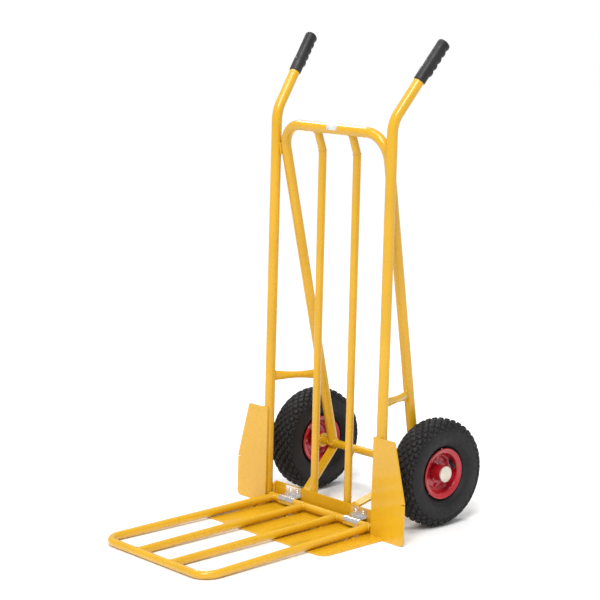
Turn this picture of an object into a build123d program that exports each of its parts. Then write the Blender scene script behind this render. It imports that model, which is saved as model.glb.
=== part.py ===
from build123d import *
from math import atan2, cos, degrees, radians, sin, sqrt
import os

# Hand truck with two pneumatic wheels and a folding toe frame, in millimetres.
# Origin: on the underside of the toe plate, midway between the uprights.
# +X is the truck's left-to-right width, -Y points forward over the toe plate, +Z is up.

# ---------------------------------------------------------------- driving dimensions
# Main tubing
TUBE_R = 12.5
TUBE_WALL = 1.5
SLIM_R = 9.5
SLIM_WALL = 1.5

# Uprights, leaning slightly backwards, with handles bent back and outwards
UPRIGHT_X = 201.0
UPRIGHT_FOOT_Y = 8.0
LEAN = 0.0368
HANDLE_BEND_Z = 971.0
HANDLE_BEND_R = 75.0
HANDLE_OUT, HANDLE_BACK = 0.15, 0.76
HANDLE_TUBE_LENGTH = 220.0

# Hand grips
GRIP_START = 114.0
GRIP_END = 226.0
GRIP_R = 14.5
GRIP_BORE_R = TUBE_R + 0.1
FINGER_PITCH = 18.0
FINGER_COUNT = 5
FINGER_BALL_R = 14.0
FINGER_OFFSET = 4.5

# Rear bow: a cross bar with two legs that run down to the axle
BOW_TOP_X, BOW_TOP_Y, BOW_TOP_Z = 182.0, 44.5, 942.0
BOW_FOOT_X = 146.5
BOW_BEND_R = 62.0

# Two slim rails inside the uprights
RAIL_X = 60.0
RAIL_FOOT_Y, RAIL_FOOT_Z = 38.2, 10.0
RAIL_LEAN = 0.0312
RAIL_BEND_Z = 885.0
RAIL_BEND_R = 40.0

# Toe plate with its upturned rear flange, and the wheel guards beside it
PLATE_T = 4.0
TOE_HALF_WIDTH = 231.0
TOE_FRONT_Y = -195.0
TOE_CORNER_R = 25.0
FLANGE_FRONT_Y = 24.4
FLANGE_TOP_Z = 51.0
FLANGE_FOLD_R = 6.0
GUARD_INNER_X, GUARD_TOP_X, GUARD_OUTER_X = 190.0, 260.0, 298.0
GUARD_SHOULDER_Z, GUARD_TOP_Z = 103.0, 241.0
GUARD_LOW_R, GUARD_TOP_R = 12.0, 6.0
SLOT_LENGTH, SLOT_WIDTH = 9.0, 2.4

# Domes pressed up out of the toe plate, on which the folding frame rests
REST_PAD_Y = -52.0
REST_PAD_R = 8.0
REST_PAD_GAP = 0.4

# Axle and wheels
AXLE_Y, AXLE_Z = 181.0, 130.0
AXLE_R = 10.0
AXLE_END_X = 252.0
COLLAR_R, COLLAR_X, COLLAR_T = 17.5, 182.0, 3.0
WHEEL_X = 216.0
WHEEL_R = 130.0
TYRE_WIDTH = 80.0
HUB_HALF = 28.5
HUB_R = 19.5
BEARING_R = 16.0
BEARING_W = 14.0
WASHER_R, WASHER_T = 15.5, 2.0
RUN_GAP = 0.3
RIM_T = 2.0
RIM_LIP_R = 61.0
RIM_LIP_X = 27.5
BARREL_R = 48.0
PANEL_COUNT = 4
RIM_BOLT_PITCH_R = 33.0
RIM_BOLT_R = 3.0
VALVE_ANGLE = 27.0
VALVE_OFFSET = 10.5
VALVE_STEM_R, VALVE_CAP_R = 3.6, 4.2
VALVE_TIP_OFFSET, VALVE_TIP_Y, VALVE_TIP_Z = 27.0, 37.5, 9.5

# Folding toe frame and its hinge saddles
PIVOT_Y, PIVOT_Z = 5.0, 18.0
PIVOT_HALF = 183.0
FOLD_FRONT_Y, FOLD_FRONT_Z = -502.0, 10.0
FOLD_REAR_X, FOLD_FRONT_X = 171.0, 186.0
FOLD_BEND_R = 40.0
SADDLE_X, SADDLE_W = 118.0, 54.0
SADDLE_T = 2.0
SADDLE_GAP = 0.1
SADDLE_TOP_Z = 50.5
RIVET_HOLE_R = 2.5
RIVET_SPREAD = 13.0
RIVET_Z = 41.0

# Stays, axle braces and sticker
STAY_Z_FRONT, STAY_Z_REAR = 318.0, 312.0
STAY_MID_R, STAY_END_HIGH, STAY_END_THIN = 8.3, 12.0, 4.5
BRACE_W, BRACE_T = 25.0, 5.0
BRACE_FRONT_X, BRACE_REAR_X = 82.0, 147.0
BRACE_FRONT_Z = 40.0
LABEL_CENTRE_X, LABEL_LENGTH = 6.0, 35.0

X_AXIS = Vector(1, 0, 0)
UPWARD = (Align.CENTER, Align.CENTER, Align.MIN)
DOWNWARD = (Align.CENTER, Align.CENTER, Align.MAX)
BEYOND = 300.0  # half length of a cutter that passes right through the truck's width
SIDES = {"left": -1, "right": 1}


# ---------------------------------------------------------------- helpers
def save(node, shape):
    """Write one sub-part to its own STEP file."""
    shape.label = node
    export_step(shape, f"parts/{node}.step")


def swept(path, radius):
    """A round bar of the given radius along a path."""
    return sweep(Plane(origin=path @ 0, z_dir=path % 0) * Circle(radius), path=path)


def tube(path, radius, wall):
    """A round tube along a path."""
    return swept(path, radius) - swept(path, radius - wall)


def cross_bar(radius, x_low, x_high, y, z):
    """A round bar along X."""
    start = Plane(origin=(x_low, y, z), x_dir=(0, 1, 0), z_dir=(1, 0, 0))
    return extrude(start * Circle(radius), x_high - x_low)


def ring(outer_r, inner_r, x_low, x_high, y, z):
    """A flat ring round an axis along X."""
    return cross_bar(outer_r, x_low, x_high, y, z) - cross_bar(inner_r, x_low - 1, x_high + 1, y, z)


def upright_y(z):
    """The uprights' centre line at a height."""
    return UPRIGHT_FOOT_Y + LEAN * z


def leg_point(side, z):
    """The centre line of the rear bow's leg at a height."""
    t = (z - AXLE_Z) / (BOW_TOP_Z - AXLE_Z)
    x = BOW_FOOT_X + (BOW_TOP_X - BOW_FOOT_X) * t
    return Vector(side * x, AXLE_Y + (BOW_TOP_Y - AXLE_Y) * t, z)


def fold_share(y):
    """How far a depth lies along the folding frame, from 0 at its pivot to 1 at its front bar."""
    return (PIVOT_Y - y) / (PIVOT_Y - FOLD_FRONT_Y)


def fold_x(y):
    """The distance of the folding loop's arms from the middle at a depth."""
    return FOLD_REAR_X + (FOLD_FRONT_X - FOLD_REAR_X) * fold_share(y)


def fold_z(y):
    """The height of the folding frame's plane at a depth."""
    return PIVOT_Z + (FOLD_FRONT_Z - PIVOT_Z) * fold_share(y)


def wheel_section(side, face):
    """Turn a face drawn as (offset from the wheel's middle, radius) about the axle."""
    plane = Plane(origin=(side * WHEEL_X, AXLE_Y, AXLE_Z), x_dir=(side, 0, 0), z_dir=(0, -side, 0))
    axis = Axis((side * WHEEL_X, AXLE_Y, AXLE_Z), (1, 0, 0))
    return revolve(plane * face, axis=axis)


# ---------------------------------------------------------------- welded frame
def handle_direction(side):
    return Vector(side * HANDLE_OUT, HANDLE_BACK, 1).normalized()


def handle_point(side, distance):
    """A point on the handle's centre line, measured from the bend's corner."""
    corner = Vector(side * UPRIGHT_X, upright_y(HANDLE_BEND_Z), HANDLE_BEND_Z)
    return corner + handle_direction(side) * distance


def make_upright(side):
    """A bent tube from just above the floor to the end of its handle."""
    foot_z = 0.5
    foot = Vector(side * UPRIGHT_X, upright_y(foot_z), foot_z)
    path = FilletPolyline(foot, handle_point(side, 0), handle_point(side, HANDLE_TUBE_LENGTH),
                          radius=HANDLE_BEND_R)
    return tube(path, TUBE_R, TUBE_WALL)


def make_grip(side):
    """A closed rubber sleeve with finger swells on its underside."""
    axis = handle_direction(side)
    under = Vector(0, 1, 0).cross(X_AXIS)
    under = (under - axis * under.dot(axis)).normalized()
    start = Plane(origin=handle_point(side, GRIP_START), x_dir=under, z_dir=axis)
    length = GRIP_END - GRIP_START
    last_swell_to_end, end_rounding, bore_slack = 9, 6, 0.5
    body = extrude(Circle(GRIP_R), length)
    body = fillet(body.edges().sort_by(Axis.Z)[-1:], end_rounding)
    first = length - last_swell_to_end - FINGER_PITCH * (FINGER_COUNT - 1)
    for i in range(FINGER_COUNT):
        body += Pos(FINGER_OFFSET, 0, first + i * FINGER_PITCH) * Sphere(FINGER_BALL_R)
    keep = Cylinder(2 * GRIP_R, length, align=UPWARD)
    bore = Cylinder(GRIP_BORE_R, HANDLE_TUBE_LENGTH - GRIP_START + bore_slack, align=UPWARD)
    return start * ((body & keep) - bore)


def make_rear_bow():
    """The cross bar and its two legs in one bent tube, coped over the axle."""
    corners = [leg_point(side, z) for side, z in ((-1, AXLE_Z), (-1, BOW_TOP_Z), (1, BOW_TOP_Z), (1, AXLE_Z))]
    bow = tube(FilletPolyline(*corners, radius=BOW_BEND_R), TUBE_R, TUBE_WALL)
    below = Pos(0, AXLE_Y, AXLE_Z) * Box(2 * BEYOND, 100, 100, align=DOWNWARD)
    return bow - below - cross_bar(AXLE_R, -BEYOND, BEYOND, AXLE_Y, AXLE_Z)


def make_inner_rail(side):
    """A slim rail behind the flange, bent forward at the top to meet the cross bar."""
    foot = Vector(side * RAIL_X, RAIL_FOOT_Y, RAIL_FOOT_Z)
    bend = Vector(side * RAIL_X, RAIL_FOOT_Y + RAIL_LEAN * (RAIL_BEND_Z - RAIL_FOOT_Z), RAIL_BEND_Z)
    top = Vector(side * RAIL_X, BOW_TOP_Y + 2, BOW_TOP_Z)
    rail = tube(FilletPolyline(foot, bend, top, radius=RAIL_BEND_R), SLIM_R, SLIM_WALL)
    above = Pos(0, BOW_TOP_Y, BOW_TOP_Z - 2) * Box(2 * BEYOND, 80, 60, align=UPWARD)
    return rail - above - cross_bar(TUBE_R, -BEYOND, BEYOND, BOW_TOP_Y, BOW_TOP_Z)


def span(half_x, low_y, high_y):
    """A rectangle of the given half width between two depths."""
    return Pos(0, (low_y + high_y) / 2) * Rectangle(2 * half_x, high_y - low_y)


def make_toe_plate():
    """A flat plate with rounded front corners, narrower between the uprights, with a rear flange."""
    side_gap, guard_gap = 0.1, 0.2
    tongue_x = UPRIGHT_X - TUBE_R - side_gap
    guard_front_y = front_plane().origin.Y - PLATE_T - guard_gap
    flange_back_y = FLANGE_FRONT_Y + PLATE_T
    wide = span(TOE_HALF_WIDTH, TOE_FRONT_Y, guard_front_y)
    wide = fillet(wide.vertices().group_by(Axis.Y)[0], TOE_CORNER_R)
    plate = extrude(wide + span(tongue_x, guard_front_y, flange_back_y), PLATE_T)
    plate += extrude(span(tongue_x, FLANGE_FRONT_Y, flange_back_y), FLANGE_TOP_Z)
    folded_edge = plate.edges().filter_by(Axis.X).filter_by(
        lambda e: abs(e.center().Y - flange_back_y) < 0.01 and abs(e.center().Z) < 0.01)
    plate = fillet(folded_edge, FLANGE_FOLD_R)
    return plate - rivet_holes() + rest_pads()


def rest_pads():
    """A dome under each tube of the folding frame."""
    height = fold_z(REST_PAD_Y) - SLIM_R - REST_PAD_GAP - PLATE_T
    dome_r = (REST_PAD_R ** 2 + height ** 2) / (2 * height)
    side_x = fold_x(REST_PAD_Y)
    pads = []
    for x in (-side_x, -RAIL_X, RAIL_X, side_x):
        ball = Pos(x, REST_PAD_Y, PLATE_T + height - dome_r) * Sphere(dome_r)
        above = Pos(x, REST_PAD_Y, PLATE_T) * Box(4 * dome_r, 4 * dome_r, 4 * dome_r, align=UPWARD)
        pads.append(ball & above)
    return pads


def front_plane():
    """The plane that touches the uprights' front faces; local X is the truck's X, local Y runs up."""
    front_y = UPRIGHT_FOOT_Y - TUBE_R * sqrt(1 + LEAN * LEAN)
    return Plane(origin=(0, front_y, 0), x_dir=(1, 0, 0), z_dir=(0, -1, LEAN))


def make_guard(side):
    """A wheel guard on the upright's front face, with a short slot at its shoulder."""
    outline = [(GUARD_INNER_X, 0), (GUARD_OUTER_X, 0), (GUARD_OUTER_X, GUARD_SHOULDER_Z),
               (GUARD_TOP_X, GUARD_TOP_Z), (GUARD_INNER_X, GUARD_TOP_Z)]
    face = make_face(Polyline(*outline, close=True))
    low_corner = face.vertices().sort_by(Axis.Y)[:2].sort_by(Axis.X)[-1]
    face = fillet(low_corner, GUARD_LOW_R)
    top_corner = face.vertices().sort_by(Axis.Y)[-2:].sort_by(Axis.X)[-1]
    face = fillet(top_corner, GUARD_TOP_R)
    slot = Pos(GUARD_OUTER_X - 4, GUARD_SHOULDER_Z - 4) * Rectangle(SLOT_LENGTH, SLOT_WIDTH)
    plate = extrude(front_plane() * (face - slot), PLATE_T)
    return plate if side > 0 else mirror(plate, about=Plane.YZ)


def make_stay(side):
    """A short tube between upright and bow leg, flattened on edge at both ends."""
    front = Vector(side * UPRIGHT_X, upright_y(STAY_Z_FRONT), STAY_Z_FRONT)
    rear = leg_point(side, STAY_Z_REAR)
    run = rear - front
    across = run.cross(Vector(0, 0, 1))
    quarter_high, quarter_thin = 10.3, 6.4
    ellipses = ((0.0, STAY_END_HIGH, STAY_END_THIN), (0.25, quarter_high, quarter_thin),
                (0.5, STAY_MID_R, STAY_MID_R), (0.75, quarter_high, quarter_thin),
                (1.0, STAY_END_HIGH, STAY_END_THIN))
    sections = []
    for t, high, thin in ellipses:
        plane = Plane(origin=front + run * t, x_dir=across, z_dir=run)
        sections.append(plane * Ellipse(thin, high))
    low_z, high_z = STAY_Z_REAR - 100, STAY_Z_FRONT + 100
    upright_line = Line(*(Vector(side * UPRIGHT_X, upright_y(z), z) for z in (low_z, high_z)))
    leg_line = Line(leg_point(side, low_z), leg_point(side, high_z))
    return loft(sections) - swept(upright_line, TUBE_R) - swept(leg_line, TUBE_R)


def make_brace(side):
    """A flat bar from under the axle down to the back of the flange."""
    back_y = FLANGE_FRONT_Y + PLATE_T
    front = Vector(side * BRACE_FRONT_X, back_y, BRACE_FRONT_Z)
    rear = Vector(side * BRACE_REAR_X, AXLE_Y, AXLE_Z - AXLE_R - 4)
    run = (rear - front).normalized()
    across = (X_AXIS - run * run.dot(X_AXIS)).normalized()
    front_waste, rear_lap = 30, 14
    plane = Plane(origin=front - run * front_waste, x_dir=run, z_dir=run.cross(across))
    length = (rear - front).length + front_waste + rear_lap
    bar = plane * Box(length, BRACE_W, BRACE_T, align=(Align.MIN, Align.CENTER, Align.CENTER))
    ahead = Pos(0, back_y, 0) * Box(2 * BEYOND, 200, 400, align=(Align.CENTER, Align.MAX, Align.CENTER))
    return bar - ahead - cross_bar(AXLE_R, -BEYOND, BEYOND, AXLE_Y, AXLE_Z)


def make_label():
    """A blank sticker wrapped over the top and front of the cross bar."""
    start_x = LABEL_CENTRE_X - LABEL_LENGTH / 2
    end_plane = Plane(origin=(start_x, BOW_TOP_Y, BOW_TOP_Z), x_dir=(0, -1, 0), z_dir=(1, 0, 0))
    inner_r, outer_r = TUBE_R + 0.02, TUBE_R + 0.3
    band = Circle(outer_r) - Circle(inner_r)
    wedge = make_face(Polyline((0, 0), (30, 4), (30, -30), (-8, -30), close=True))
    return extrude(end_plane * (band & wedge), LABEL_LENGTH)


# ---------------------------------------------------------------- hinge saddles
def rivet_places():
    """The (x, z) places of the four rivets through saddles and flange."""
    offsets = (-RIVET_SPREAD, RIVET_SPREAD)
    return [(side * SADDLE_X + offset, RIVET_Z) for side in SIDES.values() for offset in offsets]


def rivet_holes():
    """Cutters along Y at the rivets' places."""
    holes = []
    for x, z in rivet_places():
        hole = Plane(origin=(x, 0, z), z_dir=(0, 1, 0)) * Circle(RIVET_HOLE_R)
        holes.append(extrude(hole, 60))
    return holes


def make_saddle(side):
    """A plated strip riveted to the flange and curled round the pivot tube."""
    mid_r = SLIM_R + SADDLE_GAP + SADDLE_T / 2
    leaf_y = FLANGE_FRONT_Y - SADDLE_T / 2 - 0.02
    bend_r, curl_degrees = 4.0, 215
    top = PIVOT_Z + mid_r
    leaf = Line((leaf_y, SADDLE_TOP_Z), (leaf_y, top + bend_r))
    bend = RadiusArc((leaf_y, top + bend_r), (leaf_y - bend_r, top), bend_r)
    bridge = Line((leaf_y - bend_r, top), (PIVOT_Y, top))
    curl = CenterArc((PIVOT_Y, PIVOT_Z), mid_r, 90, curl_degrees)
    section = Plane(origin=(side * SADDLE_X - SADDLE_W / 2, 0, 0), x_dir=(0, 1, 0), z_dir=(1, 0, 0))
    saddle = extrude(section * trace(leaf + bend + bridge + curl, SADDLE_T), SADDLE_W)
    return saddle - rivet_holes()


def make_rivets():
    """Domed rivets, set from the front."""
    front = FLANGE_FRONT_Y - SADDLE_T - 0.04
    back = FLANGE_FRONT_Y + PLATE_T
    shank_r, head_r, head_h = RIVET_HOLE_R - 0.05, 4.6, 2.4
    tail_r, tail_h = 3.7, 1.6
    outline = [(0, front - head_h), (head_r * 0.55, front - head_h + 0.5), (head_r, front), (shank_r, front),
               (shank_r, back), (tail_r, back), (tail_r - 1, back + tail_h), (0, back + tail_h)]
    rivets = []
    for x, z in rivet_places():
        section = make_face(Polyline(*outline, close=True))
        plane = Plane(origin=(x, 0, z), x_dir=(1, 0, 0), z_dir=(0, 0, 1))
        rivets.append(revolve(plane * section, axis=Axis((x, 0, z), (0, 1, 0))))
    return Compound(children=rivets)


# ---------------------------------------------------------------- folding toe frame
def pivot_bar():
    """A cutter of the pivot tube's outer size."""
    return cross_bar(SLIM_R, -BEYOND, BEYOND, PIVOT_Y, PIVOT_Z)


def make_folding_loop():
    """The outer tube: two side arms and the front bar in one bent piece."""
    depths = ((-1, PIVOT_Y), (-1, FOLD_FRONT_Y), (1, FOLD_FRONT_Y), (1, PIVOT_Y))
    corners = [Vector(side * fold_x(y), y, fold_z(y)) for side, y in depths]
    loop = tube(FilletPolyline(*corners, radius=FOLD_BEND_R), SLIM_R, SLIM_WALL)
    behind = Pos(0, PIVOT_Y, 0) * Box(2 * BEYOND, 60, 100, align=(Align.CENTER, Align.MIN, Align.CENTER))
    return loop - behind - pivot_bar()


def make_folding_rail(side):
    """A straight slim tube from the pivot tube to the front bar."""
    rail_x = side * RAIL_X
    path = Line(Vector(rail_x, PIVOT_Y, PIVOT_Z), Vector(rail_x, FOLD_FRONT_Y, FOLD_FRONT_Z))
    rail = tube(path, SLIM_R, SLIM_WALL)
    return rail - pivot_bar() - cross_bar(SLIM_R, -BEYOND, BEYOND, FOLD_FRONT_Y, FOLD_FRONT_Z)


def make_pivot_tube():
    """The cross tube on which the toe frame folds."""
    return ring(SLIM_R, SLIM_R - SLIM_WALL, -PIVOT_HALF, PIVOT_HALF, PIVOT_Y, PIVOT_Z)


# ---------------------------------------------------------------- wheels
def make_tyre(side):
    """A tyre shell: rounded crown and sidewalls down to two beads on the rim."""
    half = TYRE_WIDTH / 2 - 0.4
    wall, crown_t = 8.0, 11.0
    bead_x, bead_w, bead_r, bead_top_r = 21.0, 5.5, BARREL_R + RIM_T + 0.1, 58.0
    wall_foot = (bead_x + 3, 62)
    bead_inner = (bead_x - bead_w, bead_top_r)
    outer = Spline((0, WHEEL_R), (0.62 * half, WHEEL_R - 4), (0.93 * half, WHEEL_R - 18),
                   (half, WHEEL_R - 42), (0.86 * half, 70), wall_foot, tangents=((1, 0), (-0.6, -1)))
    bead = Polyline(wall_foot, (bead_x, bead_top_r), (bead_x, bead_r), (bead_x - bead_w, bead_r), bead_inner)
    inner = Spline(bead_inner, (half - wall, 78), (half - wall, WHEEL_R - 40), (0.6 * half, WHEEL_R - 17),
                   (0, WHEEL_R - crown_t), tangents=((0.6, 1), (-1, 0)))
    half_face = make_face(outer + bead + inner + Line((0, WHEEL_R - crown_t), (0, WHEEL_R)))
    return wheel_section(side, half_face + mirror(half_face, about=Plane.YZ))


def make_inner_tube(side):
    """A thin-walled air tube inside the tyre."""
    centre_r, tube_r, wall = 87.0, 29.0, 2.0
    return wheel_section(side, Pos(0, centre_r) * (Circle(tube_r) - Circle(tube_r - wall)))


def rim_profile(facing):
    """One pressed half of the rim: disc, barrel, bead flange and rolled lip."""
    disc_x, barrel_mid_r = RIM_T / 2 + 0.05, BARREL_R + RIM_T / 2 - 0.2
    middle = [(disc_x, HUB_R + 1.1), (disc_x, 41), (5, 46.5), (9, barrel_mid_r), (22.5, barrel_mid_r),
              (24.5, 53), (25.2, 57.5), (RIM_LIP_X - 0.6, RIM_LIP_R - 0.4)]
    path = FilletPolyline(*middle, radius=2.2)
    return trace(Plane(origin=(0, 0, 0), x_dir=(facing, 0, 0), z_dir=(0, 0, facing)) * path, RIM_T)


def rim_panel(side, facing, index):
    """A raised pressed panel on the disc, between two bolts."""
    height, low_r, high_r, half_angle = 2.2, 25.0, 38.5, radians(27)
    outer = side * (WHEEL_X + facing * (RIM_T + height))
    inner = side * (WHEEL_X + facing * (RIM_T - 0.5))
    polar = ((low_r, -half_angle), (high_r, -half_angle), (high_r, half_angle), (low_r, half_angle))
    face = make_face(Polyline(*((r * cos(a), r * sin(a)) for r, a in polar), close=True))
    face = fillet(face.vertices(), 3.5)
    plane = Plane(origin=(outer, AXLE_Y, AXLE_Z), x_dir=(0, 1, 0), z_dir=(1, 0, 0))
    angle = 360.0 / PANEL_COUNT * (index + 0.5)
    return extrude(plane * Rot(0, 0, angle) * face, inner - outer)


def make_rim_half(side, facing):
    """The outer (facing +1) or inner (facing -1) rim half."""
    rim = wheel_section(side, rim_profile(facing))
    for i in range(PANEL_COUNT):
        rim += rim_panel(side, facing, i)
    low, high = sorted((side * (WHEEL_X - 20), side * (WHEEL_X + 20)))
    for y, z in rim_bolt_places():
        rim -= cross_bar(RIM_BOLT_R + 0.2, low, high, y, z)
    if facing > 0:
        rim -= swept(valve_path(side), VALVE_STEM_R + 1)
    return rim


def rim_bolt_places():
    """The (y, z) places of the bolts that hold the two rim halves together."""
    places = []
    for i in range(PANEL_COUNT):
        a = radians(360.0 / PANEL_COUNT * i)
        places.append((AXLE_Y + RIM_BOLT_PITCH_R * cos(a), AXLE_Z + RIM_BOLT_PITCH_R * sin(a)))
    return places


def make_rim_bolts(side):
    """Hexagon bolts with nuts, clamping the rim halves."""
    head_z, head_h, head_r, thread_out = RIM_T + 0.07, 4.0, 5.6, 1.5
    shank_length = 2 * (head_z + head_h) - head_h / 2 + thread_out
    pieces = []
    for y, z in rim_bolt_places():
        here = Pos(side * WHEEL_X, y, z)
        outward = here * Rot(0, 90 * side, 0)
        head = outward * Pos(0, 0, head_z) * extrude(RegularPolygon(head_r, 6), head_h)
        shank = outward * Pos(0, 0, -head_z - head_h - thread_out) * extrude(Circle(RIM_BOLT_R), shank_length)
        nut = outward * Pos(0, 0, -head_z - head_h) * extrude(RegularPolygon(head_r, 6), head_h)
        pieces.append(head + shank + nut)
    return Compound(children=pieces)


def make_hub(side):
    """The steel hub barrel with a bearing seat at each end."""
    seat_r, waist_r = BEARING_R + 0.02, BEARING_R - 2
    seat_end = HUB_HALF - BEARING_W
    outline = [(-HUB_HALF, seat_r), (-HUB_HALF, HUB_R), (HUB_HALF, HUB_R), (HUB_HALF, seat_r),
               (seat_end, seat_r), (seat_end, waist_r), (-seat_end, waist_r), (-seat_end, seat_r)]
    return wheel_section(side, make_face(Polyline(*outline, close=True)))


def make_bearings(side):
    """Two bearings that run on the axle with a small clearance."""
    bore_r = AXLE_R + 0.05
    pieces = []
    for end in (-1, 1):
        low, high = sorted((end * (HUB_HALF - BEARING_W + 0.02), end * HUB_HALF))
        corners = ((low, bore_r), (low, BEARING_R), (high, BEARING_R), (high, bore_r))
        section = make_face(Polyline(*corners, close=True))
        groove = Pos(end * HUB_HALF, (bore_r + BEARING_R) / 2) * Rectangle(1.6, 2.4)
        pieces.append(wheel_section(side, section - groove))
    return Compound(children=pieces)


def valve_path(side):
    """The valve's bent centre line: in through the barrel, then outwards along the axle."""
    a = radians(VALVE_ANGLE)

    def place(offset, r):
        return Vector(side * (WHEEL_X + offset), AXLE_Y + r * cos(a), AXLE_Z + r * sin(a))
    tip = Vector(side * (WHEEL_X + VALVE_TIP_OFFSET), AXLE_Y + VALVE_TIP_Y, AXLE_Z + VALVE_TIP_Z)
    return FilletPolyline(place(VALVE_OFFSET, 57.6), place(VALVE_OFFSET, 41.5), tip, radius=5)


def make_valve(side):
    """A rubber-covered valve stem with its dust cap."""
    path = valve_path(side)
    cap_length = 9
    tip = Plane(origin=path @ 1, z_dir=path % 1)
    return swept(path, VALVE_STEM_R) + tip * extrude(Circle(VALVE_CAP_R), -cap_length)


# ---------------------------------------------------------------- axle parts
def make_axle():
    """A solid bar with chamfered ends."""
    return chamfer(cross_bar(AXLE_R, -AXLE_END_X, AXLE_END_X, AXLE_Y, AXLE_Z).edges(), 1)


def make_collars():
    """Stop rings on the axle, inboard of each wheel."""
    rings = []
    for side in SIDES.values():
        low, high = sorted((side * COLLAR_X, side * (COLLAR_X + COLLAR_T)))
        rings.append(ring(COLLAR_R, AXLE_R, low, high, AXLE_Y, AXLE_Z))
    return Compound(children=rings)


def make_washers():
    """Plain washers on both sides of each hub."""
    rings = []
    inner_x = WHEEL_X - HUB_HALF - RUN_GAP - WASHER_T
    outer_x = WHEEL_X + HUB_HALF + RUN_GAP
    for side in SIDES.values():
        for x in (inner_x, outer_x):
            low, high = sorted((side * x, side * (x + WASHER_T)))
            rings.append(ring(WASHER_R, AXLE_R, low, high, AXLE_Y, AXLE_Z))
    return Compound(children=rings)


def make_hub_cap(side):
    """A domed push-on cap that grips the axle's end."""
    base = WHEEL_X + HUB_HALF + RUN_GAP + WASHER_T + 0.05
    rim_r, depth, top, edge = 19.5, AXLE_END_X - base + 0.2, 10.0, 3.0
    dome_r = (rim_r ** 2 + (top - edge) ** 2) / (2 * (top - edge))
    half_angle = degrees(atan2(rim_r, dome_r - (top - edge)))
    dome = CenterArc((0, top - dome_r), dome_r, 90 - half_angle, half_angle)
    outline = Polyline((0, top), (0, depth), (AXLE_R, depth), (AXLE_R, 0), (rim_r, 0), (rim_r, edge))
    plane = Plane(origin=(side * base, AXLE_Y, AXLE_Z), x_dir=(0, 0, 1), z_dir=(0, side, 0))
    return revolve(plane * make_face(outline + dome), axis=Axis((0, AXLE_Y, AXLE_Z), (1, 0, 0)))


# ---------------------------------------------------------------- write the nodes
def main():
    os.makedirs("parts", exist_ok=True)
    save("rear_bow", make_rear_bow())
    save("toe_plate", make_toe_plate())
    save("axle", make_axle())
    save("axle_collars", make_collars())
    save("axle_washers", make_washers())
    save("hinge_rivets", make_rivets())
    save("label", make_label())
    save("folding_loop", make_folding_loop())
    save("pivot_tube", make_pivot_tube())
    for name, side in SIDES.items():
        save(f"{name}_upright", make_upright(side))
        save(f"{name}_grip", make_grip(side))
        save(f"{name}_inner_rail", make_inner_rail(side))
        save(f"{name}_wheel_guard", make_guard(side))
        save(f"{name}_stay", make_stay(side))
        save(f"{name}_axle_brace", make_brace(side))
        save(f"{name}_hinge_saddle", make_saddle(side))
        save(f"{name}_folding_rail", make_folding_rail(side))
        save(f"{name}_tyre", make_tyre(side))
        save(f"{name}_inner_tube", make_inner_tube(side))
        save(f"{name}_rim_outer_half", make_rim_half(side, 1))
        save(f"{name}_rim_inner_half", make_rim_half(side, -1))
        save(f"{name}_rim_bolts", make_rim_bolts(side))
        save(f"{name}_hub", make_hub(side))
        save(f"{name}_bearings", make_bearings(side))
        save(f"{name}_valve", make_valve(side))
        save(f"{name}_hub_cap", make_hub_cap(side))


main()
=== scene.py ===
import math

import bmesh
import bpy
import numpy as np
from mathutils import Matrix, Vector


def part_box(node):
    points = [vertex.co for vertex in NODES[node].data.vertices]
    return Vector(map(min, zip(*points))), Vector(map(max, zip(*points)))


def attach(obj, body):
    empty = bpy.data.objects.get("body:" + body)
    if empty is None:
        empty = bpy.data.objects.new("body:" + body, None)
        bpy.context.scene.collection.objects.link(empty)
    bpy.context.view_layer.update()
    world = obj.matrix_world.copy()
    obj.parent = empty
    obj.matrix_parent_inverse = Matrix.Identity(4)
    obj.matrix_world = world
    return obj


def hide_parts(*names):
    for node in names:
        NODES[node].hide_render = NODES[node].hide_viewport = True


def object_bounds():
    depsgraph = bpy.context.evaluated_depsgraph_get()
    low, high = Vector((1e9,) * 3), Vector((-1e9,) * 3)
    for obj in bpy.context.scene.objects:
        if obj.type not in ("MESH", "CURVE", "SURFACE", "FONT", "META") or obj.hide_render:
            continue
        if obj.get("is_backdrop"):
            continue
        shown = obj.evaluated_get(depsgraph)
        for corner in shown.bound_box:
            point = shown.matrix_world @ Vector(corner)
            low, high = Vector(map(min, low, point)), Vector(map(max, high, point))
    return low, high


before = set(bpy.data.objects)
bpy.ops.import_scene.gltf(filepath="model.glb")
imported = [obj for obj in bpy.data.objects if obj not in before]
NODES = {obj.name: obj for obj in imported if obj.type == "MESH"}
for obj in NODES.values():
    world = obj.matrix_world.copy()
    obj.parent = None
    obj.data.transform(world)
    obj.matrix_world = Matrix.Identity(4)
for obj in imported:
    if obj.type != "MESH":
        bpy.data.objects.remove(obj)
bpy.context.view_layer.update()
MM = 0.001
SIDES = {"left": -1, "right": 1}


# ---------------------------------------------------------------- places read from the frame
def centre(node):
    """The middle of a CAD node's box."""
    low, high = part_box(node)
    return (low + high) / 2


def size(node):
    """The edge lengths of a CAD node's box."""
    low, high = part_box(node)
    return high - low


AXLE = centre("axle")
AXLE_R = size("axle").z / 2
TYRE_R = size("right_tyre").z / 2
TYRE_HALF = size("right_tyre").x / 2
PIVOT = centre("pivot_tube")
SLIM_R = size("pivot_tube").z / 2
FLANGE_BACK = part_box("toe_plate")[1].y

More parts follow.
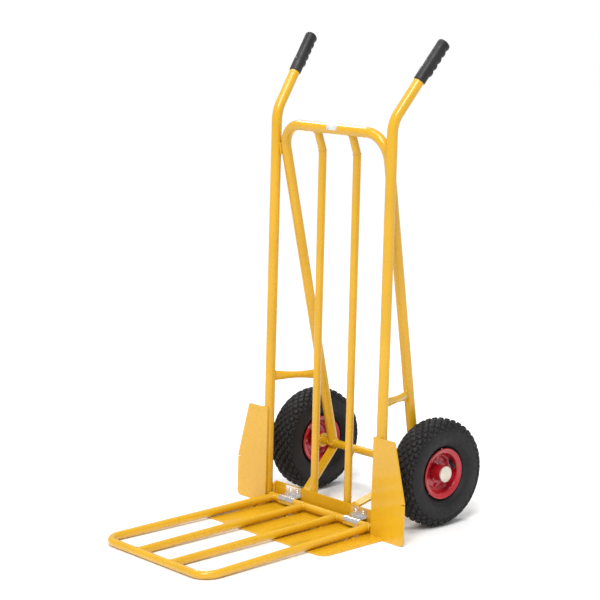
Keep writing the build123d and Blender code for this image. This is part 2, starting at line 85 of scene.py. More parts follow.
# Centre lines of the frame's tubes, as they are in the CAD
TUBE_R = 12.5 * MM
UPRIGHT_X, UPRIGHT_FOOT_Y, LEAN = 0.201, 0.008, 0.0368
HANDLE_CORNER_Z, HANDLE_OUT, HANDLE_BACK = 0.971, 0.15, 0.76
BOW_FOOT_X, BOW_TOP_X, BOW_TOP_Y, BOW_TOP_Z = 0.1465, 0.182, 0.0445, 0.942
RAIL_X, RAIL_BEND_Y, RAIL_BEND_Z, RAIL_TOP_Y = 0.060, 0.0655, 0.885, 0.0465
STAY_Z_FRONT, STAY_Z_REAR, STAY_HIGH, STAY_THIN = 0.318, 0.312, 0.012, 0.0045
FOLD_REAR_X, FOLD_FRONT_X, FOLD_FRONT_Y, FOLD_FRONT_Z = 0.171, 0.186, -0.502, 0.010


def upright_point(side, z):
    """The point at height z on an upright's centre line."""
    return Vector((side * UPRIGHT_X, UPRIGHT_FOOT_Y + LEAN * z, z))


def leg_point(side, z):
    """The point at height z on the centre line of a leg of the rear bow."""
    t = (z - AXLE.z) / (BOW_TOP_Z - AXLE.z)
    x = BOW_FOOT_X + (BOW_TOP_X - BOW_FOOT_X) * t
    return Vector((side * x, AXLE.y + (BOW_TOP_Y - AXLE.y) * t, z))


# ---------------------------------------------------------------- node material helpers
class Mat:
    """A node material with a Principled shader, built up one named node at a time."""

    def __init__(self, name, **uniform):
        self.material = bpy.data.materials.new(name)
        self.material.use_nodes = True
        self.tree = self.material.node_tree
        self.tree.nodes.clear()
        self.out = self.add("ShaderNodeOutputMaterial")
        self.shader = self.add("ShaderNodeBsdfPrincipled")
        self.link(self.shader, "BSDF", self.out, "Surface")
        for socket, value in uniform.items():
            self.shader.inputs[socket.replace("_", " ")].default_value = value
        self.place = self.add("ShaderNodeTexCoord")

    def add(self, kind, **settings):
        """A new node with these properties."""
        node = self.tree.nodes.new(kind)
        for key, value in settings.items():
            setattr(node, key, value)
        return node

    def link(self, source, output, target, socket):
        """Join a node's output to another node's input."""
        self.tree.links.new(source.outputs[output], target.inputs[socket])

    def noise(self, scale, detail=4.0, rough=0.55, stretch=None):
        """Noise in the object's own metres; stretch scales each axis first."""
        node = self.add("ShaderNodeTexNoise")
        node.inputs["Scale"].default_value = scale
        node.inputs["Detail"].default_value = detail
        node.inputs["Roughness"].default_value = rough
        if stretch:
            mapping = self.add("ShaderNodeMapping")
            mapping.inputs["Scale"].default_value = stretch
            self.link(self.place, "Object", mapping, "Vector")
            self.link(mapping, "Vector", node, "Vector")
        else:
            self.link(self.place, "Object", node, "Vector")
        return node

    def ramp(self, source, output, stops):
        """A colour ramp; stops are (position, colour) pairs."""
        node = self.add("ShaderNodeValToRGB")
        elements = node.color_ramp.elements
        while len(elements) < len(stops):
            elements.new(0.5)
        for element, (position, colour) in zip(elements, stops):
            element.position = position
            element.color = (*colour, 1.0)
        self.link(source, output, node, "Fac")
        return node

    def range(self, source, output, low, high, start=0.0, end=1.0):
        """Map a value from start..end to low..high."""
        node = self.add("ShaderNodeMapRange")
        node.inputs["From Min"].default_value = start
        node.inputs["From Max"].default_value = end
        node.inputs["To Min"].default_value = low
        node.inputs["To Max"].default_value = high
        self.link(source, output, node, "Value")
        return node

    def mix(self, factor, factor_output, first, second):
        """Mix two colours: each is an RGB triple or a node with a Color output."""
        node = self.add("ShaderNodeMix", data_type="RGBA")
        self.link(factor, factor_output, node, "Factor")
        for socket, value in ((6, first), (7, second)):
            if isinstance(value, tuple):
                node.inputs[socket].default_value = (*value, 1.0)
            else:
                output = "Color" if "Color" in value.outputs else 2
                self.tree.links.new(value.outputs[output], node.inputs[socket])
        return node

    def colour(self, node):
        """Use a ramp or a mix as the base colour."""
        output = node.outputs[2] if node.bl_idname == "ShaderNodeMix" else node.outputs["Color"]
        self.tree.links.new(output, self.shader.inputs["Base Color"])

    def roughness(self, node):
        """Use a range node as the roughness."""
        self.link(node, "Result", self.shader, "Roughness")

    def bump(self, heights):
        """Chain bumps; heights are (node, output, strength, distance)."""
        last = None
        for node, output, strength, distance in heights:
            bump = self.add("ShaderNodeBump")
            bump.inputs["Strength"].default_value = strength
            bump.inputs["Distance"].default_value = distance
            self.link(node, output, bump, "Height")
            if last:
                self.link(last, "Normal", bump, "Normal")
            last = bump
        self.link(last, "Normal", self.shader, "Normal")


def painted(name, deep, base, light, rough_low, rough_high, coat, peel=0.015):
    """Gloss paint over steel: slow colour drift, orange peel, and a few fine rubs."""
    m = Mat(name, Coat_Weight=coat, Coat_Roughness=0.06, Specular_IOR_Level=0.35)
    drift = m.noise(6.0, 3.0)
    tone = m.ramp(drift, "Fac", [(0.30, deep), (0.52, base), (0.75, light)])
    rubs = m.noise(55.0, 6.0, 0.7, (1.0, 1.0, 0.25))
    rub_mask = m.range(rubs, "Fac", 0.0, 0.10, 0.60, 0.78)
    m.colour(m.mix(rub_mask, "Result", tone, light))
    speckle = m.noise(60.0, 3.0)
    m.roughness(m.range(speckle, "Fac", rough_low, rough_high, 0.3, 0.7))
    orange_peel = m.noise(420.0, 2.0)
    waviness = m.noise(38.0, 2.0)
    m.bump([(waviness, "Fac", 0.03, 0.0010), (orange_peel, "Fac", peel, 0.0004)])
    return m.material


def yellow_paint():
    """The frame's yellow powder coat."""
    return painted("yellow_powder_coat", (0.63, 0.345, 0.008), (0.68, 0.375, 0.010),
                   (0.72, 0.395, 0.013), 0.25, 0.31, 0.5)


def weld_paint():
    """Yellow paint over the weld beads, with a wider range of tones and a stronger orange peel."""
    return painted("yellow_over_weld", (0.62, 0.33, 0.009), (0.70, 0.385, 0.014),
                   (0.78, 0.45, 0.030), 0.16, 0.28, 0.5, 0.15)


def red_paint():
    """The rims' red enamel."""
    return painted("red_rim_enamel", (0.36, 0.006, 0.014), (0.50, 0.012, 0.024),
                   (0.60, 0.022, 0.036), 0.16, 0.28, 0.6, 0.10)


def rubber(name, dark, base, bloom, rough_low, rough_high, grain):
    """Moulded rubber: dusty bloom in slow patches, a fine matt grain, and painted shade that darkens its
    hollows.
    """
    m = Mat(name, Specular_IOR_Level=0.28)
    patches = m.noise(14.0, 5.0, 0.6)
    tone = m.ramp(patches, "Fac", [(0.35, dark), (0.55, base), (0.80, bloom)])
    # painted shade: concave places (low pointiness) are darkened towards a third of the dark tone
    painted_hollow_shade = m.range(m.add("ShaderNodeNewGeometry"), "Pointiness", 1.0, 0.0, 0.44, 0.50)
    m.colour(m.mix(painted_hollow_shade, "Result", tone, tuple(0.35 * c for c in dark)))
    fine = m.noise(700.0, 3.0)
    coarse = m.noise(90.0, 4.0)
    m.roughness(m.range(coarse, "Fac", rough_low, rough_high, 0.3, 0.7))
    m.bump([(coarse, "Fac", 0.15, 0.0006), (fine, "Fac", grain, 0.0003)])
    return m.material


def plated(name, dark, base, light, tint, rough_low, rough_high):
    """Zinc plate: pale spangle with faint gold passivation and directional rubbing."""
    m = Mat(name, Metallic=1.0)
    spangle = m.add("ShaderNodeTexVoronoi")
    spangle.inputs["Scale"].default_value = 260.0
    m.link(m.place, "Object", spangle, "Vector")
    cloud = m.noise(70.0, 5.0)
    tone = m.ramp(cloud, "Fac", [(0.30, dark), (0.5, base), (0.7, light)])
    gold = m.range(m.noise(35.0, 3.0), "Fac", 0.0, 0.6, 0.52, 0.68)
    m.colour(m.mix(gold, "Result", tone, tint))
    m.roughness(m.range(spangle, "Distance", rough_low, rough_high, 0.0, 0.7))
    brushed = m.noise(300.0, 4.0, 0.6, (0.08, 1.0, 1.0))
    m.bump([(brushed, "Fac", 0.05, 0.0002), (spangle, "Distance", 0.02, 0.0002)])
    return m.material


def cap_plastic():
    """Cream moulded plastic with pin specks and small scuffs."""
    m = Mat("cream_cap_plastic", Specular_IOR_Level=0.5, Coat_Weight=0.25, Coat_Roughness=0.15,
            Subsurface_Weight=0.05)
    cloud = m.noise(60.0, 4.0)
    tone = m.ramp(cloud, "Fac", [(0.35, (0.60, 0.54, 0.45)), (0.6, (0.72, 0.66, 0.57))])
    specks = m.add("ShaderNodeTexVoronoi")
    specks.inputs["Scale"].default_value = 210.0
    m.link(m.place, "Object", specks, "Vector")
    dots = m.range(specks, "Distance", 0.35, 0.0, 0.05, 0.16)
    m.colour(m.mix(dots, "Result", tone, (0.45, 0.33, 0.20)))
    m.roughness(m.range(cloud, "Fac", 0.28, 0.42))
    m.bump([(m.noise(500.0, 2.0), "Fac", 0.08, 0.0003)])
    return m.material


def label_film():
    """A white film sticker with faint grey smudges and no lettering."""
    m = Mat("white_label_film", Coat_Weight=0.5, Coat_Roughness=0.08)
    smudge = m.noise(130.0, 5.0, 0.6, (1.0, 1.6, 1.6))
    m.colour(m.ramp(smudge, "Fac", [(0.42, (0.72, 0.72, 0.72)), (0.60, (0.46, 0.48, 0.52))]))
    m.roughness(m.range(smudge, "Fac", 0.22, 0.38))
    m.bump([(m.noise(240.0, 2.0), "Fac", 0.05, 0.0003)])
    return m.material


MATS = {
    "yellow": yellow_paint(),
    "weld": weld_paint(),
    "red": red_paint(),
    "tyre": rubber("tyre_rubber", (0.009, 0.008, 0.009), (0.012, 0.011, 0.012), (0.020, 0.019, 0.021),
                   0.46, 0.66, 0.30),
    "grip": rubber("grip_rubber", (0.018, 0.017, 0.018), (0.024, 0.023, 0.025), (0.034, 0.033, 0.036),
                   0.36, 0.52, 0.22),
    "valve": rubber("valve_rubber", (0.010, 0.010, 0.010), (0.014, 0.014, 0.014), (0.022, 0.022, 0.022),
                    0.35, 0.5, 0.15),
    "inner": rubber("butyl_rubber", (0.010, 0.010, 0.010), (0.014, 0.014, 0.014), (0.022, 0.022, 0.022),
                    0.5, 0.7, 0.2),
    "zinc": plated("zinc_plate", (0.70, 0.69, 0.70), (0.82, 0.82, 0.84), (0.93, 0.93, 0.95),
                   (0.84, 0.70, 0.46), 0.20, 0.34),
    "bolt": plated("bolt_zinc", (0.40, 0.39, 0.36), (0.58, 0.57, 0.54), (0.70, 0.70, 0.68),
                   (0.62, 0.50, 0.26), 0.22, 0.40),
    "bearing": plated("bearing_steel", (0.35, 0.35, 0.36), (0.50, 0.50, 0.52), (0.62, 0.62, 0.64),
                      (0.45, 0.42, 0.38), 0.15, 0.30),
    "cap": cap_plastic(),
    "label": label_film(),
}


def material_for_node(name):
    """The material of a CAD node that stays in view."""
    rules = (("inner_tube", "inner"), ("tyre", "tyre"), ("rim_bolts", "bolt"), ("rim", "red"),
             ("hub_cap", "cap"), ("hub", "red"), ("bearings", "bearing"), ("valve", "valve"),
             ("grip", "grip"), ("saddle", "zinc"), ("rivets", "zinc"), ("washers", "bolt"),
             ("label", "label"))
    for word, key in rules:
        if word in name:
            return MATS[key]
    return MATS["yellow"]


for node_name, node in NODES.items():
    node.data.materials.clear()
    node.data.materials.append(material_for_node(node_name))


# ---------------------------------------------------------------- mesh helpers
ON_AXIS = 1e-7
SAME_PLACE = 1e-6


def make_object(name, mesh, key, body, *replaced):
    """A smooth-shaded piece with its material, body, slot and the CAD nodes that it stands for."""
    mesh.materials.append(MATS[key])
    mesh.shade_smooth()
    obj = bpy.data.objects.new(name, mesh)
    bpy.context.scene.collection.objects.link(obj)
    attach(obj, body)
    if replaced:
        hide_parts(*replaced)
    return obj


def grid_mesh(name, points, close_u, close_v):
    """A quad mesh from points[u][v]; each direction may close on itself."""
    points = np.asarray(points, float)
    nu, nv = points.shape[:2]
    mesh = bpy.data.meshes.new(name)
    index = np.arange(nu * nv).reshape(nu, nv)
    if close_u:
        index = np.vstack([index, index[:1]])
    if close_v:
        index = np.hstack([index, index[:, :1]])
    quads = np.stack([index[:-1, :-1], index[1:, :-1], index[1:, 1:], index[:-1, 1:]], axis=-1)
    mesh.from_pydata(points.reshape(-1, 3).tolist(), [], quads.reshape(-1, 4).tolist())
    mesh.update()
    return mesh


def join_meshes(name, meshes):
    """One mesh from several, which are then dropped."""
    bm = bmesh.new()
    for mesh in meshes:
        bm.from_mesh(mesh)
        bpy.data.meshes.remove(mesh)
    joined = bpy.data.meshes.new(name)
    bm.to_mesh(joined)
    bm.free()
    return joined


def outward(mesh):
    """Make every closed shell's normals point out."""
    bm = bmesh.new()
    bm.from_mesh(mesh)
    bmesh.ops.recalc_face_normals(bm, faces=bm.faces)
    bm.to_mesh(mesh)
    bm.free()
    return mesh


def cap_ends(mesh):
    """Close the open ends of a tube-like mesh."""
    bm = bmesh.new()
    bm.from_mesh(mesh)
    open_edges = [e for e in bm.edges if len(e.link_faces) == 1]
    bmesh.ops.holes_fill(bm, edges=open_edges)
    bmesh.ops.recalc_face_normals(bm, faces=bm.faces)
    bm.to_mesh(mesh)
    bm.free()
    return mesh


def lathe(name, profile, columns, flats=0, corner_r=1.0):
    """Turn (height, radius) points about local Z; zero radii close to a point; flats cuts a prism's sides."""
    angles = np.linspace(0, 2 * math.pi, columns, endpoint=False)
    profile = np.asarray(profile, float)
    scale = np.ones(columns)
    if flats:
        step = 2 * math.pi / flats
        from_flat = (angles + step / 2) % step - step / 2
        scale = np.minimum(math.cos(step / 2) / np.cos(from_flat), corner_r)
    radii = profile[None, :, 1] * scale[:, None]
    points = np.empty((columns, len(profile), 3))
    points[..., 0] = radii * np.cos(angles)[:, None]
    points[..., 1] = radii * np.sin(angles)[:, None]
    points[..., 2] = profile[None, :, 0]
    mesh = grid_mesh(name, points, True, False)
    bm = bmesh.new()
    bm.from_mesh(mesh)
    poles = [v for v in bm.verts if math.hypot(v.co.x, v.co.y) < ON_AXIS]
    bmesh.ops.remove_doubles(bm, verts=poles, dist=SAME_PLACE)
    bmesh.ops.recalc_face_normals(bm, faces=bm.faces)
    bm.to_mesh(mesh)
    bm.free()
    return mesh


def pointed(mesh, place, along):
    """Turn a lathed mesh so that its local Z runs along a direction, and move it to its place."""
    mesh.transform(Matrix.Translation(place) @ Vector(along).to_track_quat("Z", "Y").to_matrix().to_4x4())
    return mesh


def arc(cx, cy, r, start, end, count):
    """Points on an arc, angles in degrees."""
    steps = [math.radians(start + (end - start) * i / (count - 1)) for i in range(count)]
    return [(cx + r * math.cos(a), cy + r * math.sin(a)) for a in steps]


def smoothstep(x, low, high):
    """0 below low, 1 above high, and an S-shaped rise between them."""
    t = np.clip((x - low) / (high - low), 0, 1)
    return t * t * (3 - 2 * t)


# ---------------------------------------------------------------- weld beads
BEAD_SIDES = 10
BEAD_STEP = 0.9 * MM
JOINT_SAMPLES = 72
RIPPLE_PITCH = 2.4 * MM
RIPPLE = 0.16
TIP_FILL = 0.05


def resampled(path, closed):
    """Points at an even step along a polyline, with the lengths at which they lie."""
    path = np.asarray([tuple(p) for p in path], float)
    if closed:
        path = np.vstack([path, path[:1]])
    lengths = np.r_[0, np.cumsum(np.linalg.norm(np.diff(path, axis=0), axis=1))]
    count = max(4, round(lengths[-1] / BEAD_STEP))
    at = np.linspace(0, lengths[-1], count, endpoint=not closed)
    return np.stack([np.interp(at, lengths, path[:, i]) for i in range(3)], axis=1), at, lengths[-1]


def bead(path, radius, closed):
    """A rippled weld bead along a path, as a closed mesh; open beads taper at both ends."""
    points, at, total = resampled(path, closed)
    ripples = max(1, round(total / RIPPLE_PITCH))
    wave = np.abs(np.sin(math.pi * at * ripples / total))
    radii = radius * (1 - RIPPLE + RIPPLE * wave)
    if not closed:
        to_end = np.minimum(at, total - at)
        radii = radii * np.sqrt(np.clip(to_end / radius + TIP_FILL, TIP_FILL, 1))
    if closed:
        tangents = np.roll(points, -1, axis=0) - np.roll(points, 1, axis=0)
    else:
        tangents = np.gradient(points, axis=0)
    tangents /= np.linalg.norm(tangents, axis=1)[:, None]
    # the bead's sections are turned by a point off its line
    hub = points.mean(axis=0) if closed else points[0] + np.array((0.3, 1.0, 0.7))
    first = np.cross(tangents, points - hub)
    first /= np.linalg.norm(first, axis=1)[:, None]
    second = np.cross(tangents, first)
    turn = np.linspace(0, 2 * math.pi, BEAD_SIDES, endpoint=False)
    round_about = first[:, None] * np.cos(turn)[None, :, None] + second[:, None] * np.sin(turn)[None, :, None]
    mesh = grid_mesh("bead", points[:, None] + round_about * radii[:, None, None], closed, True)
    return outward(mesh) if closed else cap_ends(mesh)


def joint_ring(base, along, half_widths, other_point, other_along, other_r):
    """Where a tube's outside meets another tube, as points round the first.

    half_widths are the first tube's half sizes across and up. Rays that miss the other tube
    stop beside its axis.
    """
    along, axis = Vector(along).normalized(), Vector(other_along).normalized()
    across = along.cross(Vector((0, 0, 1)) if abs(along.z) < 0.8 else Vector((0, 1, 0))).normalized()
    up = across.cross(along)
    ring = []
    for i in range(JOINT_SAMPLES):
        a = 2 * math.pi * i / JOINT_SAMPLES
        start = base + across * half_widths[0] * math.cos(a) + up * half_widths[1] * math.sin(a)
        gap = start - other_point
        gap = gap - axis * gap.dot(axis)
        ray = along - axis * along.dot(axis)
        p, q, r = ray.dot(ray), gap.dot(ray), gap.dot(gap) - other_r ** 2
        root = math.sqrt(max(q * q - p * r, 0.0))
        ring.append(start + along * ((-q - root) / p))
    return ring


def add_beads(name, body, paths):
    """One piece of several beads; paths are (points, radius, closed)."""
    mesh = join_meshes(name, [bead(path, radius, closed) for path, radius, closed in paths])
    make_object(name, mesh, "weld", body)


# ---------------------------------------------------------------- tyres
BLOCKS_ROUND = 34
SAMPLES_PER_BLOCK = 16
TREAD_DEPTH = 4.2 * MM
ROW_PITCH = 9.6 * MM
GROOVE_HALF = 1.7 * MM
TREAD_PITCH = 2 * math.pi * TYRE_R / BLOCKS_ROUND
DIAMOND_POWER, PILLOW = 5, 0.7
SHOULDER = 4 * ROW_PITCH
LUG_STRETCH = 1.15
# how far past the shoulder the lugs fade out, the sidewall rises and the close sampling ends
LUG_FADE = (7 * MM, 9.6 * MM)
WALL_RISE = (-1 * MM, 9 * MM)
CLOSE_SAMPLES_END, CLOSE_SAMPLE = 13 * MM, 1.15 * MM
WALL_SAMPLES = 30
WALL_DROP = 2.6 * MM
SECTION_MID_R = TYRE_R - 40 * MM
SECTION_DROP, SECTION_POWER = 34 * MM, 2 / 2.7
LOWER_TURN = (0.01, 0.93)
CROWN_SAMPLES, LOWER_SAMPLES = 400, 120
BEAD_R, BEAD_OUT = 58.5 * MM, 21.5 * MM
# moulded rings on the sidewall: radius, height and width
WALL_RINGS = ((103 * MM, 0.5 * MM, 0.9 * MM), (79 * MM, 0.9 * MM, 1.6 * MM),
              (72 * MM, 0.4 * MM, 0.8 * MM), (66.5 * MM, 0.5 * MM, 0.8 * MM))
# the inside from one bead to the other: offset and radius
INSIDE = np.array([(15.5, 58.5), (24, 70), (31, 86), (30, 104), (20, 116), (0, 119),
                   (-20, 116), (-30, 104), (-31, 86), (-24, 70), (-15.5, 58.5)]) * MM
FIRST_BLOCK = {"left": math.radians(129.8), "right": math.radians(136.4)}


def tyre_section():
    """Half of the tyre's outer outline from the crown to the bead, as (offset, radius), with arc lengths."""
    rise = TYRE_R - SECTION_MID_R
    points = []
    for t in np.linspace(0, math.pi / 2, CROWN_SAMPLES):
        across, up = math.sin(t) ** SECTION_POWER, math.cos(t) ** SECTION_POWER
        points.append((TYRE_HALF * across, SECTION_MID_R + rise * up))
    for t in np.linspace(*LOWER_TURN, LOWER_SAMPLES):
        points.append((TYRE_HALF * math.cos(t), SECTION_MID_R - SECTION_DROP * math.sin(t)))
    points.append((BEAD_OUT, BEAD_R))
    points = np.array(points)
    steps = np.r_[0, np.cumsum(np.hypot(*np.diff(points, axis=0).T))]
    return points, steps


def block_height(around, across):
    """Tread relief from 0 in the grooves to 1 on the blocks, in a staggered lattice of pillow diamonds."""
    a = around / TREAD_PITCH + across / (2 * ROW_PITCH)
    b = -around / TREAD_PITCH + across / (2 * ROW_PITCH)
    da, db = np.abs(a - np.round(a)), np.abs(b - np.round(b))
    reach = (da ** DIAMOND_POWER + db ** DIAMOND_POWER) ** (1 / DIAMOND_POWER)
    cell = 1 / math.hypot(1 / TREAD_PITCH, 1 / (2 * ROW_PITCH))
    to_edge = (0.5 - reach) * cell
    wall = smoothstep(to_edge, GROOVE_HALF * 0.5, GROOVE_HALF * 1.5)
    return wall * (1 - PILLOW * reach ** 2)


def tread_depth(angles, v):
    """How far the rubber lies below the outline, by angle and by arc length from the crown."""
    # beyond the shoulder the last row's blocks stretch into lugs that run down on to the sidewall
    v = np.where(v > SHOULDER, SHOULDER + (v - SHOULDER) / LUG_STRETCH, v)
    blocks = block_height(angles[:, None] * TYRE_R, v[None, :])
    blocks = blocks * (1 - smoothstep(v, SHOULDER + LUG_FADE[0], SHOULDER + LUG_FADE[1]))[None, :]
    rise = smoothstep(v, SHOULDER + WALL_RISE[0], SHOULDER + WALL_RISE[1])[None, :]
    side_wall = (1 - WALL_DROP / TREAD_DEPTH) * rise
    return TREAD_DEPTH * (1 - np.maximum(blocks, side_wall))


def make_tyre_mesh():
    """A treaded tyre about the origin, with its first block at angle 0."""
    outline, lengths = tyre_section()
    tread = np.arange(0, SHOULDER + CLOSE_SAMPLES_END, CLOSE_SAMPLE)
    half_lengths = np.r_[tread, np.linspace(tread[-1], lengths[-1], WALL_SAMPLES)[1:]]
    s = np.r_[-half_lengths[:0:-1], half_lengths]
    offset = np.sign(s) * np.interp(np.abs(s), lengths, outline[:, 0])
    radius = np.interp(np.abs(s), lengths, outline[:, 1])
    tangent = np.gradient(np.c_[offset, radius], axis=0)
    tangent /= np.linalg.norm(tangent, axis=1)[:, None]
    normal = np.c_[-tangent[:, 1], tangent[:, 0]]
    if normal[len(s) // 2, 1] < 0:
        normal = -normal
    columns = BLOCKS_ROUND * SAMPLES_PER_BLOCK
    angles = np.linspace(0, 2 * math.pi, columns, endpoint=False)
    ring = np.zeros_like(radius)
    for r, high, wide in WALL_RINGS:
        ring = ring + high * np.exp(-((radius - r) / wide) ** 2)
    lift = ring[None, :] - tread_depth(angles, np.abs(s))
    off = offset[None, :] + normal[None, :, 0] * lift
    rad = radius[None, :] + normal[None, :, 1] * lift
    off = np.hstack([off, np.tile(INSIDE[:, 0], (columns, 1))])
    rad = np.hstack([rad, np.tile(INSIDE[:, 1], (columns, 1))])
    points = np.empty(off.shape + (3,))
    points[..., 0] = off
    points[..., 1] = rad * np.cos(angles)[:, None]
    points[..., 2] = rad * np.sin(angles)[:, None]
    return outward(grid_mesh("tyre_mesh", points, True, True))


def wheel_place(side_name):
    """A wheel's centre on the axle."""
    return Vector((centre(f"{side_name}_tyre").x, AXLE.y, AXLE.z))


tyre_mesh = make_tyre_mesh()
for side_name, side in SIDES.items():
    mesh = tyre_mesh.copy()
    turn = Matrix.Rotation(FIRST_BLOCK[side_name], 4, "X")
    mesh.transform(Matrix.Translation(wheel_place(side_name)) @ turn)
    make_object(f"{side_name}_tyre_treaded", mesh, "tyre", f"{side_name}_wheel", f"{side_name}_tyre")
bpy.data.meshes.remove(tyre_mesh)


# ---------------------------------------------------------------- rims
RIM_COLUMNS = 160
# raised panels between the bolts; lengths in mm, as in the outline
PANELS, PANEL_RISE = 4, 2.2
PANEL_SIDES = (math.radians(24), math.radians(31))
PANEL_FOOT, PANEL_HEAD = (23.5, 26.5), (37.0, 40.0)
DISC_EDGE_R, DISC_FACE = 41, 3


def rim_outline():
    """One rim half's closed section: disc, barrel, bead flange and rolled lip, as (offset, radius) in mm."""
    outer = [(2.1, 20.0), (2.1, 22.5), (2.1, 25.0), (2.1, 28.0), (2.1, 31.5), (2.1, 35.0),
             (2.1, 38.5), (2.3, 40.5), (3.4, 42.6), (5.6, 45.0), (8.0, 47.0), (10.5, 47.8),
             (15.0, 48.0), (20.0, 48.1), (22.5, 48.6), (24.2, 50.2), (25.2, 52.6), (25.9, 55.0), (26.6, 57.2)]
    lip = arc(26.0, 59.6, 2.0, -50, 150, 11)
    inner = [(24.0, 58.2), (23.4, 55.5), (22.8, 53.4), (21.4, 51.2), (19.0, 50.2), (12.0, 50.0), (8.6, 49.6),
             (5.4, 47.6), (2.4, 44.6), (0.6, 42.4), (0.1, 40.5), (0.1, 34.0), (0.1, 26.0), (0.1, 20.0)]
    return np.array(outer + lip + inner)


def make_rim_mesh():
    """A rim half about the origin, with its disc's outer face towards +X."""
    outline = rim_outline()
    angles = np.linspace(0, 2 * math.pi, RIM_COLUMNS, endpoint=False)
    off = np.tile(outline[:, 0], (RIM_COLUMNS, 1))
    rad = np.tile(outline[:, 1], (RIM_COLUMNS, 1))
    step = 2 * math.pi / PANELS
    from_panel = np.abs(((angles / step) % 1.0) - 0.5) * step
    panel = 1 - smoothstep(from_panel[:, None], *PANEL_SIDES)
    panel = panel * smoothstep(rad, *PANEL_FOOT) * (1 - smoothstep(rad, *PANEL_HEAD))
    on_disc = (rad < DISC_EDGE_R) & (off < DISC_FACE)
    off = off + PANEL_RISE * panel * on_disc
    points = np.empty(off.shape + (3,))
    points[..., 0] = off * MM
    points[..., 1] = rad * np.cos(angles)[:, None] * MM
    points[..., 2] = rad * np.sin(angles)[:, None] * MM
    return outward(grid_mesh("rim_mesh", points, True, True))


rim_mesh = make_rim_mesh()
for side_name, side in SIDES.items():
    for half_name, facing in (("outer", 1), ("inner", -1)):
        mesh = rim_mesh.copy()
        mesh.transform(Matrix.Translation(wheel_place(side_name)) @ Matrix.Diagonal((side * facing, 1, 1, 1)))
        outward(mesh)
        make_object(f"{side_name}_rim_{half_name}_pressing", mesh, "red", f"{side_name}_wheel",
                    f"{side_name}_rim_{half_name}_half")
bpy.data.meshes.remove(rim_mesh)


# ---------------------------------------------------------------- rim bolts
BOLT_CIRCLE = 33 * MM
RIM_FACE = 2.1 * MM
BOLTS = 4
HEAD_R, HEAD_HIGH, SHANK_R = 5.6 * MM, 4 * MM, 3 * MM
HEX_CORNER = 0.985
HEAD_OUTLINE = [(RIM_FACE, 0.0), (RIM_FACE, HEAD_R), (RIM_FACE + 0.8 * HEAD_HIGH, HEAD_R),
                (RIM_FACE + 0.93 * HEAD_HIGH, 0.92 * HEAD_R), (RIM_FACE + HEAD_HIGH, 0.78 * HEAD_R),
                (RIM_FACE + HEAD_HIGH, 0.0)]
STUD_OUTLINE = [(-RIM_FACE + 0.2 * MM, 0.0), (-RIM_FACE + 0.2 * MM, SHANK_R), (RIM_FACE + HEAD_HIGH, SHANK_R),
                (RIM_FACE + HEAD_HIGH + 1.2 * MM, SHANK_R), (RIM_FACE + HEAD_HIGH + 1.6 * MM, 0.75 * SHANK_R),
                (RIM_FACE + HEAD_HIGH + 1.6 * MM, 0.0)]


def bolt_places(side_name):
    """The rim bolts' places on the plane between the halves."""
    hub = wheel_place(side_name)
    turns = [i * 2 * math.pi / BOLTS for i in range(BOLTS)]
    return [hub + Vector((0, BOLT_CIRCLE * math.cos(a), BOLT_CIRCLE * math.sin(a))) for a in turns]


for side_name, side in SIDES.items():
    heads, nuts = [], []
    for place in bolt_places(side_name):
        heads.append(pointed(lathe("head", HEAD_OUTLINE, 48, 6, HEX_CORNER), place, (side, 0, 0)))
        nuts.append(pointed(lathe("nut", HEAD_OUTLINE, 48, 6, HEX_CORNER), place, (-side, 0, 0)))
        nuts.append(pointed(lathe("stud", STUD_OUTLINE, 24), place, (-side, 0, 0)))
    for word, key, meshes in (("heads", "red", heads), ("nuts", "bolt", nuts)):
        name = f"{side_name}_rim_bolt_{word}"
        make_object(name, join_meshes(name, meshes), key, f"{side_name}_wheel", f"{side_name}_rim_bolts")


# ---------------------------------------------------------------- hub caps
CAP_CURVE, CAP_EDGE_R = 0.62, 1.3 * MM
for side_name, side in SIDES.items():
    low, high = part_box(f"{side_name}_hub_cap")
    base_x = low.x if side > 0 else high.x
    deep, cap_r = high.x - low.x, (high.z - low.z) / 2
    crown = [(deep * (1 - (r / cap_r) ** 2 * CAP_CURVE), r) for r in np.linspace(0, cap_r - 1.6 * MM, 14)]
    edge = arc(deep * 0.30, cap_r - CAP_EDGE_R, CAP_EDGE_R, 50, -60, 7)
    bore_r = AXLE_R + 0.3 * MM
    painted_hollow_shade = [(0.0, cap_r - 0.6 * MM), (0.0, bore_r), (deep * 0.35, bore_r), (deep * 0.55, 0)]
    mesh = lathe("cap_mesh", crown + edge + painted_hollow_shade, 96)
    pointed(mesh, Vector((base_x, AXLE.y, AXLE.z)), (side, 0, 0))
    make_object(f"{side_name}_hub_cap_dome", mesh, "cap", f"{side_name}_wheel", f"{side_name}_hub_cap")


# ---------------------------------------------------------------- grips
GRIP_START, GRIP_LENGTH, GRIP_R, BORE_R = 0.114, 0.112, 0.0145, 0.0126
BORE_DEPTH = 0.1065
SWELL_PITCH, SWELL_COUNT, SWELL_R, SWELL_OUT, LAST_SWELL = 0.018, 5, 0.014, 0.0045, 0.009
COLLAR_LENGTH, COLLAR_STEP, GRIP_END_R = 0.033, 0.7 * MM, 0.006
LIP, SWELL_BLEND = 1.6 * MM, 0.8 * MM


